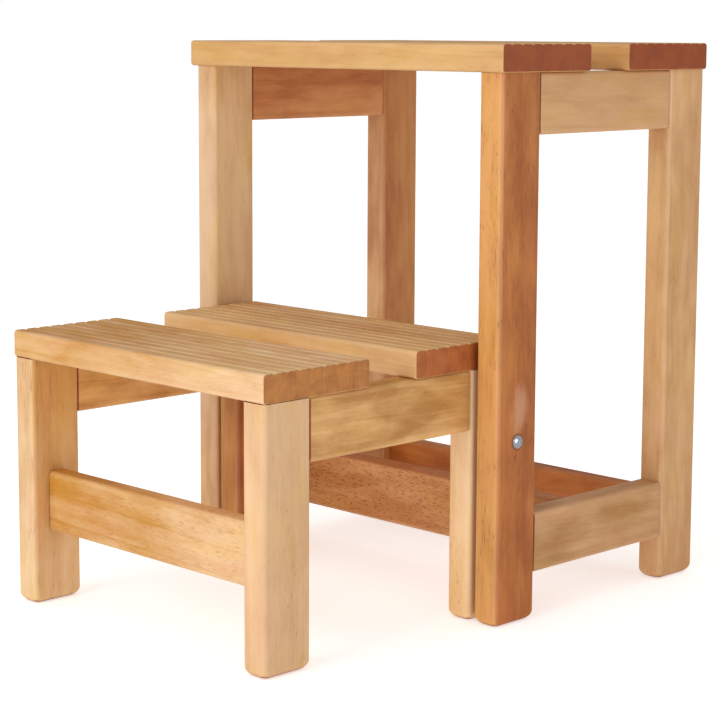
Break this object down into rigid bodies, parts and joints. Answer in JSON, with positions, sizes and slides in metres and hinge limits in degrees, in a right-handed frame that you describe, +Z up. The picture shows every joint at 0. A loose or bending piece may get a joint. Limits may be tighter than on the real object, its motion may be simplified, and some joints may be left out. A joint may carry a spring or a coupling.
{
  "type": "step ladder",
  "caption": "Solid beech folding step stool: a tall frame with fluted treads and a lower step that swings up and over into the frame on side bolts.",
  "frame": {"origin": "on the floor, at the centre of the ladder's footprint with the step set down in front", "axes": "+Z up; -Y is the front, where the low step stands; +X is the ladder's right side"},
  "size_m": [0.4, 0.5214, 0.5],
  "materials": {
    "frame_beech": "oiled, satin, warm reddish honey",
    "step_beech": "oiled, satin, pale honey",
    "tread_beech": "oiled, satin, fluted",
    "dowel_beech": "raw, glued in",
    "pivot_steel": "bright zinc plated",
    "screw_steel": "yellow passivated"
  },
  "bodies": {
    "frame": {"frame_leg_front_right": "frame_beech", "frame_leg_front_left": "frame_beech", "frame_leg_rear_right": "frame_beech", "frame_leg_rear_left": "frame_beech", "frame_apron_right": "frame_beech", "frame_apron_left": "frame_beech", "frame_tread_front": "tread_beech", "frame_tread_rear": "tread_beech", "frame_side_rail_right": "frame_beech", "frame_side_rail_left": "frame_beech", "front_cross_rail": "frame_beech", "rear_cross_rail": "frame_beech", "front_cross_rail_dowel_right_upper": "dowel_beech", "front_cross_rail_dowel_right_lower": "dowel_beech", "front_cross_rail_dowel_left_upper": "dowel_beech", "front_cross_rail_dowel_left_lower": "dowel_beech", "rear_cross_rail_dowel_right_upper": "dowel_beech", "rear_cross_rail_dowel_right_lower": "dowel_beech", "rear_cross_rail_dowel_left_upper": "dowel_beech", "rear_cross_rail_dowel_left_lower": "dowel_beech", "frame_leg_top_dowel_front_right": "dowel_beech", "frame_leg_top_dowel_front_left": "dowel_beech", "frame_leg_top_dowel_rear_right": "dowel_beech", "frame_leg_top_dowel_rear_left": "dowel_beech", "frame_tread_screw_front_right": "screw_steel", "frame_tread_screw_front_left": "screw_steel", "frame_tread_screw_rear_right": "screw_steel", "frame_tread_screw_rear_left": "screw_steel", "pivot_bolt_right": "pivot_steel", "pivot_bolt_left": "pivot_steel", "pivot_spacer_right": "pivot_steel", "pivot_spacer_left": "pivot_steel", "pivot_washer_right": "pivot_steel", "pivot_washer_left": "pivot_steel", "pivot_nut_right": "pivot_steel", "pivot_nut_left": "pivot_steel"},
    "step": {"step_leg_front_right": "step_beech", "step_leg_front_left": "step_beech", "step_leg_rear_right": "step_beech", "step_leg_rear_left": "step_beech", "step_apron_right": "step_beech", "step_apron_left": "step_beech", "step_tread_front": "tread_beech", "step_tread_rear": "tread_beech", "step_stretcher": "step_beech", "step_stretcher_dowel_right_upper": "dowel_beech", "step_stretcher_dowel_right_lower": "dowel_beech", "step_stretcher_dowel_left_upper": "dowel_beech", "step_stretcher_dowel_left_lower": "dowel_beech", "step_leg_top_dowel_front_right": "dowel_beech", "step_leg_top_dowel_front_left": "dowel_beech", "step_leg_top_dowel_rear_right": "dowel_beech", "step_leg_top_dowel_rear_left": "dowel_beech", "step_tread_screw_front_right": "screw_steel", "step_tread_screw_front_left": "screw_steel", "step_tread_screw_rear_right": "screw_steel", "step_tread_screw_rear_left": "screw_steel"}
  },
  "joints": [
    {"name": "step_fold", "type": "hinge", "parent": "frame", "child": "step", "pos_m": [0, 0.00425, 0.161], "axis": [-1, 0, 0], "range_deg": [0, 164]}
  ]
}
